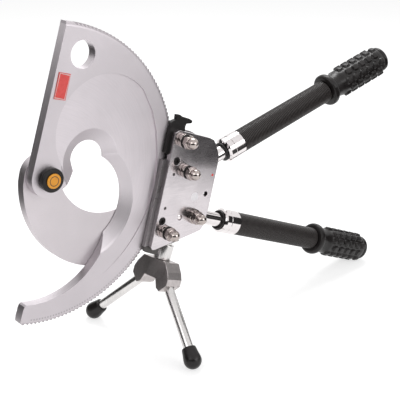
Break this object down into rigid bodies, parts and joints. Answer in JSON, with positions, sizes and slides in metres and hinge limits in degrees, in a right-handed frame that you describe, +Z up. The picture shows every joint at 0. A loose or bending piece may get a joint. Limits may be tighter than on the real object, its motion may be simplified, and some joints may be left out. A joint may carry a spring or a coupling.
{
  "type": "ratchet cable cutter",
  "caption": "Hand ratchet cutter with a toothed hook blade closing over a fixed blade, telescoping handles with rubber grips, and a tilted two-legged stand.",
  "frame": {"origin": "middle of the underside, on the plane through the two feet and the lower grip's end", "axes": "+X from the blades towards the grips, +Z up, -Y the side with the acorn nuts"},
  "size_m": [0.5304, 0.1822, 0.3678],
  "materials": {
    "blade_steel": "satin turned and ground steel",
    "nickel": "polished nickel plate",
    "chrome": "bright chrome plate",
    "dark_steel": "dark grey oxide, satin",
    "leg_steel": "drawn and polished bar",
    "black_oxide": "black oxide, satin",
    "black_paint": "black, ribbed, satin",
    "rubber": "moulded black rubber",
    "yellow_cap": "orange yellow disc, blank",
    "red_label": "red label, blank"
  },
  "bodies": {
    "frame": {"dowel_lower": "blade_steel", "dowel_upper": "blade_steel", "far_foot": "rubber", "far_leg": "leg_steel", "fixed_blade": "blade_steel", "front_plate": "nickel", "guide_plate": "blade_steel", "guide_screw_lower": "blade_steel", "guide_screw_upper": "blade_steel", "handle_root": "dark_steel", "lever_bolt": "chrome", "lever_collar": "chrome", "lever_nut": "chrome", "lever_spacer": "chrome", "lever_washer": "black_oxide", "lower_rod": "chrome", "near_foot": "rubber", "near_leg": "leg_steel", "pivot_bolt": "blade_steel", "pivot_cap": "yellow_cap", "pivot_nut": "black_oxide", "rear_plate": "nickel", "release_bolt": "chrome", "release_collar": "chrome", "release_nut": "chrome", "release_spacer": "chrome", "release_spring": "blade_steel", "release_washer": "black_oxide", "root_bolt": "chrome", "root_collar": "chrome", "root_nut": "chrome", "root_pin": "blade_steel", "stand_bracket": "dark_steel", "stand_head": "dark_steel", "stand_post": "leg_steel", "tail_bolt": "chrome", "tail_collar": "chrome", "tail_nut": "chrome", "tail_washer": "black_oxide"},
    "blade": {"moving_blade": "blade_steel", "blade_label": "red_label"},
    "lever": {"handle_lever": "dark_steel", "upper_rod": "chrome", "pawl_pin": "blade_steel"},
    "drive_pawl": {"drive_pawl": "dark_steel"},
    "release": {"release_lever": "black_oxide"},
    "upper_tube": {"upper_sleeve": "black_paint", "upper_grip": "rubber", "upper_wiper_ring": "rubber"},
    "lower_tube": {"lower_sleeve": "black_paint", "lower_grip": "rubber", "lower_wiper_ring": "rubber"},
    "upper_collar": {"upper_twist_collar": "chrome"},
    "lower_collar": {"lower_twist_collar": "chrome"}
  },
  "joints": [
    {"name": "blade_hinge", "type": "hinge", "parent": "frame", "child": "blade", "pos_m": [-0.22288, 0.00103, 0.2181], "axis": [0, 1, 0], "range_deg": [-75, 55]},
    {"name": "lever_hinge", "type": "hinge", "parent": "frame", "child": "lever", "pos_m": [-0.06329, 0.00378, 0.19399], "axis": [0, -1, 0], "range_deg": [-8, 30]},
    {"name": "pawl_hinge", "type": "hinge", "parent": "lever", "child": "drive_pawl", "pos_m": [-0.04915, 0.00103, 0.17714], "axis": [0, -1, 0], "range_deg": [-38.9, 10.4]},
    {"name": "release_hinge", "type": "hinge", "parent": "frame", "child": "release", "pos_m": [-0.06646, -0.00447, 0.2289], "axis": [0, 1, 0], "range_deg": [-8, 1], "stiffness_Nm_per_rad": 0.8},
    {"name": "upper_slide", "type": "slide", "parent": "lever", "child": "upper_tube", "axis": [0.9664, 0, 0.2571], "range_m": [0, 0.15]},
    {"name": "lower_slide", "type": "slide", "parent": "frame", "child": "lower_tube", "axis": [0.9225, 0, -0.3859], "range_m": [0, 0.15]},
    {"name": "upper_collar_twist", "type": "hinge", "parent": "upper_tube", "child": "upper_collar", "pos_m": [0.01761, 0.00378, 0.19986], "axis": [0.9664, 0, 0.2571], "range_deg": [0, 90]},
    {"name": "lower_collar_twist", "type": "hinge", "parent": "lower_tube", "child": "lower_collar", "pos_m": [0.01136, 0.00378, 0.11061], "axis": [0.9225, 0, -0.3859], "range_deg": [0, 90]}
  ],
  "couplings": [
    {"joint": "pawl_hinge", "follows": "lever_hinge", "ratio": -1.294}
  ]
}
